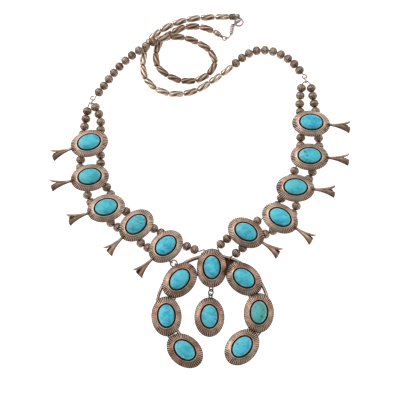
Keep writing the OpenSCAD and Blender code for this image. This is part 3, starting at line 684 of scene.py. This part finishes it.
def addStrip(shape, radius, closes=False):
    half = naja["sweep"] / 2
    degrees = np.linspace(-half, half, naja["segments"])
    turn = np.radians(90 + degrees)
    out = np.column_stack([np.cos(turn), np.sin(turn), 0 * turn])
    line = out * radius
    if closes:
        side = np.radians(90 + np.sign(degrees) * naja["closeFrom"])
        corner = np.column_stack([np.cos(side), np.sin(side), 0 * side]) * (radius - naja["closeRadius"])
        closing = np.abs(degrees)[:, None] > naja["closeFrom"]
        line = np.where(closing, corner + out * naja["closeRadius"], line)
    section = [(-x, z, t) for x, z, t in stripSection[:0:-1]] + stripSection
    across, height, tarnish = np.array(section).T
    rows = layout(*naja["centre"], 0) + mm * (
        line[:, None] + out[:, None] * across[None, :, None] + np.array((0, 0, 1)) * height[None, :, None])
    # The walls are darkened with painted shade
    shape.grid(rows, tarnish[None], caps=(True, True))


najaPlaces = [platePlace(f"naja_stone_{number + 1}", naja["middle"]) for number in range(7)]
shape = Shape()
for place in najaPlaces:
    addPlate(shape, place, chance.uniform(*plate["najaTones"]), plate["najaGrow"],
             [other for other in najaPlaces if other is not place])
addStrip(shape, naja["outer"], closes=True)
addStrip(shape, naja["inner"])
for degrees in naja["loopAngles"]:
    c, s = cosSin(degrees)
    reach = naja["outer"] + naja["thick"] / 2 + naja["loopOut"]
    centre = layout(naja["centre"][0] + reach * c, naja["centre"][1] + reach * s,
                    naja["loop"] + naja["wire"])
    addRing(shape, centre, (-s, c, 0), naja["loop"] * mm, naja["wire"] * mm, 0.7)
# A dark piece of solder that also stands in for the shade in that corner
corners = np.array([[layout(x, y, z) for x, y in naja["solderAndShade"]] for z in naja["solderAndShadeHeights"]])
corners[2] += (corners[2].mean(0) - corners[2]) * (0.15, 0.15, 0)
shape.grid(corners, 0.95, 1, caps=(True, True))
addRing(shape, layout(*naja["hanger"]), leaning(naja["hangerTilt"]), naja["hangerLoop"] * mm,
        naja["wire"] * mm, 1)
addPiece("naja", shape, "plateSilver", sharp=45)
for number, tones in enumerate(stoneTones["naja_stone"]):
    stone = f"naja_stone_{number + 1}"
    addStone(stone, platePlace(stone), tones)

# The drop inside it
drop = {"loopCentre": (6.6, -62.8, 1.45), "loop": 1.4, "wire": 0.4, "tilt": 45}
shape = Shape()
place = platePlace("drop_stone")
addPlate(shape, place, plate["dropTone"], plate["najaGrow"])
addRing(shape, layout(*drop["loopCentre"]), leaning(drop["tilt"]), drop["loop"] * mm, drop["wire"] * mm, 1)
addPiece("drop_setting", shape, "plateSilver", sharp=45)
addStone("drop_stone", place, stoneTones["drop_stone"][0])
print("naja and drop: 8 settings")


# Rings of wire, dull by the naja and bright at the shoulders: finish and tarnish
rings = {"naja_ring": ("wireSilver", 0.2), "drop_ring": ("wireSilver", 0.8),
         "left_shoulder_ring": ("brightSilver", 0.1), "right_shoulder_ring": ("brightSilver", 0.1)}
for node, (finish, tarnish) in rings.items():
    centre, directions, points = solids(node)[0]
    far = np.linalg.norm(points - centre, axis=1)
    # The flat direction of a ring is the one across which its points spread least
    flat = np.linalg.eigh(np.cov((points - centre).T))[1].T[0]
    shape = Shape()
    addRing(shape, centre, flat, (far.max() + far.min()) / 2, (far.max() - far.min()) / 2, tarnish,
            segments=56, sides=14)
    addPiece(node, shape, finish)
print("rings:", len(rings))


# Round beads: two stamped cones with a doubled ridge where they meet
roundBead = {"segments": 60, "flutes": 12, "depth": 0.22, "soot": 0.8, "grooveSoot": 0.55, "tones": (0, 1)}
# Distance along the bead, radius, tarnish, share of the flutes' depth
halfBead = [(0, 2.84, 1.3, 0), (0.12, 2.92, 0.6, 0), (0.24, 3, -0.3, 0), (0.5, 3, -0.3, 0),
            (0.62, 2.93, 0.5, 0), (0.76, 2.8, 1.3, 0.1), (0.98, 2.78, 0.3, 0.8), (1.3, 2.62, 0.1, 1),
            (1.75, 2.3, 0.1, 1), (2.1, 1.86, 0.3, 0.9), (2.38, 1.3, 0.7, 0.4), (2.5, 1, 1, 0),
            (2.5, 0.55, 1.3, 0)]
roundProfile = [(-x, r, t, s) for x, r, t, s in halfBead[:0:-1]] + halfBead


def addRoundBead(shape, place):
    segments = roundBead["segments"]
    points = lathe(roundProfile, segments, chance.uniform(*anyTurn))
    x, radius, tarnish, share = columnsOf(roundProfile)
    groove = wave(segments, roundBead["flutes"]) * share
    points[..., 1:] *= (1 - roundBead["depth"] * groove / radius)[..., None]
    tarnish = tarnish * roundBead["soot"] + groove * roundBead["grooveSoot"]
    shape.grid(place.put(points), tarnish, chance.uniform(*roundBead["tones"]), along=True)


# Tube beads: twisted, fluted spindles. The flutes turn by twist over the length of twistOver.
tubeBead = {"half": 4.46, "shoulder": 4.4, "rowsTo": 4.2, "rows": 17, "segments": 45, "bore": 0.55,
            "flutes": 5, "twist": 100, "twistOver": 9, "depth": 0.15, "grooveTo": 4.45, "grooveFade": 0.7,
            "sootFrom": 4, "endSoot": 0.6,
            # The left strand's beads are browner than the right strand's
            "tones": {"left_tube_beads": (0.8, 1.8), "right_tube_beads": (-0.2, 0.7)}}
# Distance along the bead from its middle, radius
tubeEnvelope = [(0, 2.2), (1, 2.2), (2.2, 2.18), (3.4, 2.04), (4.1, 1.8), (4.4, 1.48), (4.46, 1.1)]


def addTubeBead(shape, place, tone):
    segments, flutes, half, shoulder = (tubeBead[key] for key in ("segments", "flutes", "half", "shoulder"))
    rows = np.linspace(-tubeBead["rowsTo"], tubeBead["rowsTo"], tubeBead["rows"])
    x = np.concatenate([[-half, -shoulder], rows, [shoulder, half]])[:, None]
    radius = np.interp(np.abs(x), *zip(*tubeEnvelope))
    angles = np.arange(segments) * 2 * math.pi / segments
    twist = np.radians(tubeBead["twist"]) * flutes * (x / tubeBead["twistOver"])
    phase = flutes * angles[None] + twist + chance.uniform(*anyTurn)
    # The grooves run out towards the ends
    fade = np.clip((tubeBead["grooveTo"] - np.abs(x)) / tubeBead["grooveFade"], 0, 1)
    groove = (0.5 - 0.5 * np.cos(phase)) ** 1.4 * fade
    radius = radius * (1 - tubeBead["depth"] * groove)
    points = np.stack([np.broadcast_to(x, radius.shape), radius * np.cos(angles), radius * np.sin(angles)],
                      -1) * mm
    bore = lathe([(half, tubeBead["bore"]), (-half, tubeBead["bore"])], segments)
    ends = np.clip((np.abs(x) - tubeBead["sootFrom"]) / 0.4, 0, 1) * tubeBead["endSoot"]
    tarnish = np.concatenate([groove ** 1.5 * 1.15 - 0.1 + ends, np.full((2, segments), 1.4)])
    shape.grid(place.put(np.concatenate([points, bore])), tarnish, tone, along=True)


count = 0
for node in ("left_round_beads", "right_round_beads", "left_outer_beads", "left_inner_beads",
             "right_outer_beads", "right_inner_beads", "left_tube_beads", "right_tube_beads"):
    shape = Shape()
    tones = tubeBead["tones"].get(node)   # round beads have none
    for centre, directions, points in solids(node):
        place = placeAlong(centre, directions[0])
        if tones:
            addTubeBead(shape, place, chance.uniform(*tones))
        else:
            addRoundBead(shape, place)
        count += 1
    addPiece(node, shape, "tubeSilver" if tones else "beadSilver", sharp=55)
print("beads:", count)


# Clasp: a cone on the left strand, the wire-wrapped hook linked to it, and on the right strand a bead,
# a cap and the flat eye that the hook goes through
clasp = {
    "cone": ((9.14, 114.81, 2.1), (15.08, 110.39, 2.1)), "coneLoop": (16.12, 109.62, 2.1), "loop": 1.4,
    "wire": 0.4, "endBead": ((19.83, 124.93, 2.1), (23.53, 125.03, 2.1)),
    "cap": ((23.83, 125.04, 2.1), (26.73, 125.11, 2.1)), "eye": (25.7, 121.1, 2.1), "eyeRadius": 2.7,
    "eyeWire": 0.58, "flutes": 12, "capFlutes": 8, "fluteDepth": 0.16, "segments": 48,
}
hook = {
    "loop": (17.82, 110.03, 1.8), "shank": ((20.5, 112.6, 1.62), (21.6, 119.5, 1.62)),
    "core": 1, "coreHalf": 3.5, "wraps": 5, "wrapWire": 0.66, "wrapRadius": 0.98, "wrapSamples": 14,
    # The arm goes from the shank's head in the direction of turn. Its wire: distance from the head, height.
    "wire": 0.54, "turn": 28, "out": ((0.3, 1.15), (1, 0.82), (2, 0.75), (3.2, 0.75)),
    "bendFrom": (4.4, 0.75), "bend": 1.3, "back": ((3.4, 3.37), (2.2, 3.42), (1.3, 3.5)),
}
# Distance along the piece, radius, tarnish, share of the flutes' depth
coneProfile = [(-3.3, 0.55, 1.6, 0), (-3.7, 0.6, 1.4, 0), (-3.7, 1.4, 0.6, 0), (-3.6, 1.6, 0, 0.3),
               (-2.95, 1.65, 0, 0.6), (-2.75, 1.4, 0.9, 0), (-2.55, 1.5, 0.6, 0), (-2.2, 1.9, -0.1, 0.6),
               (-1.2, 2.02, -0.1, 0.8), (-0.9, 1.86, 0.8, 0), (-0.6, 1.95, 0, 0.6), (0.3, 1.9, 0, 0.6),
               (0.9, 1.65, 0.3, 0.3), (1.2, 1.25, 1, 0), (1.5, 1.35, 0, 0), (2, 1.3, 0.1, 0),
               (2.3, 0.95, 0.8, 0), (3.2, 0.85, 0.4, 0), (3.7, 0.5, 0.8, 0)]
endBeadProfile = [(-2.4, 0.55, 1.3, 0), (-2.4, 1.3, 0.8, 0), (-2.1, 1.9, 0.3, 0.6), (-1.5, 2.1, 0, 1),
                  (-1.25, 1.9, 0.9, 0), (-0.95, 2.15, 0.1, 0.8), (-0.5, 2.25, 0, 1), (-0.2, 2, 0.9, 0),
                  (0.1, 2.2, 0.1, 0.8), (0.5, 2.24, 0, 1), (0.8, 2.05, 0.9, 0), (1.1, 2.2, 0, 0.8),
                  (1.5, 2.2, 0.2, 0.6), (1.75, 1.9, 0.6, 0.3), (1.9, 1.3, 0.9, 0), (1.9, 0.55, 1.3, 0)]
capProfile = [(-1.45, 0.55, 1.3, 0), (-1.45, 1.6, 0.6, 0), (-1.35, 1.95, -0.2, 0), (-0.5, 2, -0.2, 0),
              (-0.35, 1.7, 1, 0), (-0.1, 1.6, 1, 0), (0.05, 1.85, 0.6, 0), (0.75, 1.8, 0.6, 0),
              (0.9, 1.5, 0.7, 0), (1.4, 1.1, 0.8, 0), (1.45, 0.5, 0.9, 0)]


def addTurned(shape, ends, profile, flutes=1, tone=0.5, drilled=False):
    # A turned piece between two points, fluted round its ridges
    start, end = (layout(*p) for p in ends)
    segments = clasp["segments"]
    points = lathe(profile, segments)
    x, radius, tarnish, share = columnsOf(profile)
    groove = wave(segments, flutes) * share
    points[..., 1:] *= (1 - clasp["fluteDepth"] * groove / radius)[..., None]
    shape.grid(placeAlong((start + end) / 2, end - start).put(points), tarnish + groove * 0.8, tone,
               along=drilled, caps=(not drilled, not drilled))


def addWire(shape, points, radius, tarnish, sides=14):
    # Round wire along points of the layout, flat at both ends
    points = np.array([layout(*p) for p in points])
    tangents = np.gradient(points, axis=0)
    tangents /= np.linalg.norm(tangents, axis=1)[:, None]
    side = np.cross((0, 0, 1), tangents[0])
    angles = (np.arange(sides) * 2 * math.pi / sides)[:, None]
    rows = []
    for point, tangent in zip(points, tangents):
        side = unit(side - np.dot(side, tangent) * tangent)
        up = np.cross(tangent, side)
        rows.append(point + radius * mm * (np.cos(angles) * side + np.sin(angles) * up))
    shape.grid(np.array(rows), tarnish, caps=(True, True))


shape = Shape()
addTurned(shape, clasp["cone"], coneProfile, clasp["flutes"])
addRing(shape, layout(*clasp["coneLoop"]), (0, 0, 1), clasp["loop"] * mm, clasp["wire"] * mm, 0.3)
addPiece("cone_end", shape, "tubeSilver")

shape = Shape()
addTurned(shape, clasp["endBead"], endBeadProfile, clasp["flutes"], drilled=True)
addPiece("end_bead", shape, "beadSilver")

shape = Shape()
addTurned(shape, clasp["cap"], capProfile, clasp["capFlutes"], tone=0)
addRing(shape, layout(*clasp["eye"]), (0, 0, 1), clasp["eyeRadius"] * mm, clasp["eyeWire"] * mm, 0.5,
        segments=64, sides=16)
addPiece("eye_end", shape, "brightSilver", sharp=45)

# The hook: its loop, the wire to its shank, the shank's core, the wrapping and the arm
shape = Shape()
loop, foot, head = (np.array(p) for p in (hook["loop"], *hook["shank"]))
along = unit(head - foot)
loopAim = unit(unit(loop - np.array(clasp["coneLoop"])) * (1, 1, 0))
addRing(shape, layout(*loop), np.cross(loopAim, (0, 0, 1)), clasp["loop"] * mm, clasp["wire"] * mm, 0.3)
neck = loop + loopAim * clasp["loop"]
neckLine = [neck, (neck * 2 + foot) / 3, foot + along * 0.4, foot + along * 1.2]
addWire(shape, neckLine, hook["wire"] * 0.9, 0.5)
addTurned(shape, (foot, head), [(x, hook["core"], 1.3, 0) for x in (-hook["coreHalf"], hook["coreHalf"])])
spiral = []
across, up = np.cross(along, (0, 0, 1)), np.array((0, 0, 1))
turns = hook["wraps"] * hook["wrapSamples"]
for k in range(turns + 1):
    share = k / turns
    angle = share * hook["wraps"] * 2 * math.pi
    spiral.append(foot + (head - foot) * (0.05 + 0.9 * share)
                  + hook["wrapRadius"] * (math.cos(angle) * across + math.sin(angle) * up))
addWire(shape, spiral, hook["wrapWire"], 0.12, sides=10)
armAim = np.array((*cosSin(hook["turn"]), 0))
bendReach, bendLow = hook["bendFrom"]
bend = [(bendReach + hook["bend"] * s, bendLow + hook["bend"] * (1 - c))
        for c, s in (cosSin(degrees) for degrees in range(0, 181, 15))]
arm = [np.array((head[0], head[1], height)) + reach * armAim
       for reach, height in ((-0.4, head[2]), *hook["out"], *bend, *hook["back"])]
addWire(shape, arm, hook["wire"], 0.4)
addPiece("hook", shape, "brightSilver")
print("clasp: 4 pieces")

# The threads stay as the CAD has them and get their finish here
for node in ("left_thread", "right_thread", "left_double_thread", "right_double_thread"):
    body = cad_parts[node]
    body.data.materials.clear()
    body.data.materials.append(finishes["wireSilver"])

# Floor, light and camera. The floor lies a little under the necklace.
studio = {"floorBelow": 0.15, "mottle": 60, "floorGlow": 0.9, "floorPale": 220, "floorDark": 214,
          "skyDark": 0.1, "skyBright": 0.66, "skyWest": 0.2,
          # The floor's half side, and the places and sizes of the lights, are in metres
          "floorHalf": 3, "key": 9, "keyPlace": (-0.75, 0.5, 1), "keySize": 1.1,
          "fill": 2, "fillPlace": (1, 0.1, 0.7), "fillSize": 0.9}
camera = {"distance": 900, "elevation": 75, "target": (-0.48, -9.28, 0), "width": 256, "sensor": 36,
          "near": 10}

net = Net(bpy.data.materials.new("paleFloor"))
mottle = net.noise(net.place(), studio["mottle"], detail=2)
pale, dark = (srgb(v, v, v) for v in (studio["floorPale"], studio["floorDark"]))
floorMaterial = net.finish(colour=net.mix(mottle, dark, pale), roughness=0.9, glow=(1, 1, 1, 1),
                           glowStrength=studio["floorGlow"])
floorMesh = bpy.data.meshes.new("floor")
half = studio["floorHalf"]
floorMesh.from_pydata([(-half, -half, 0), (half, -half, 0), (half, half, 0), (-half, half, 0)], [],
                      [(0, 1, 2, 3)])
floorMesh.materials.append(floorMaterial)
floor = addObject("floor", floorMesh)
floor.location = (0, 0, -studio["floorBelow"] * mm)

world = bpy.data.worlds.new("studio")
net = Net(world)
# Dark on the near side of the table, brightest to the left, as the settings' rims show it
aim = net.add("ShaderNodeTexCoord", out="Generated")
east, north = (net.add("ShaderNodeSeparateXYZ", None, {"Vector": aim}, out=axis) for axis in ("X", "Y"))
strength = north.step(-0.85, 0, studio["skyDark"], studio["skyBright"]) * north.step(0.45, 1, 1, 0.6)
strength = strength + east.step(-0.95, 0.1, 1, 0) * north.step(-0.7, 0, 0, 1) * studio["skyWest"]
light = net.add("ShaderNodeBackground", None, {"Color": (1, 1, 1, 1), "Strength": strength})
net.add("ShaderNodeOutputWorld", None, {"Surface": light}, out=None)
bpy.context.scene.world = world


def addLight(name, place, size, power):
    data = bpy.data.lights.new(name, "AREA")
    data.size = size
    data.energy = power
    light = addObject(name, data)
    light.location = place
    light.rotation_euler = (-Vector(place)).to_track_quat("-Z", "Y").to_euler()


addLight("keyLight", studio["keyPlace"], studio["keySize"], studio["key"])
addLight("fillLight", studio["fillPlace"], studio["fillSize"], studio["fill"])

target = Vector(camera["target"]) * mm
level, lift = cosSin(camera["elevation"])
cameraData = bpy.data.cameras.new("camera")
cameraData.sensor_width = camera["sensor"]
cameraData.lens = camera["sensor"] * camera["distance"] / camera["width"]
cameraData.clip_start = camera["near"] * mm
cameraObject = addObject("camera", cameraData)
cameraObject.location = target + Vector((0, -level, lift)) * camera["distance"] * mm
cameraObject.rotation_euler = (target - cameraObject.location).to_track_quat("-Z", "Y").to_euler()
bpy.context.scene.camera = cameraObject
bpy.context.scene.view_settings.view_transform = "Standard"
print("studio ready")
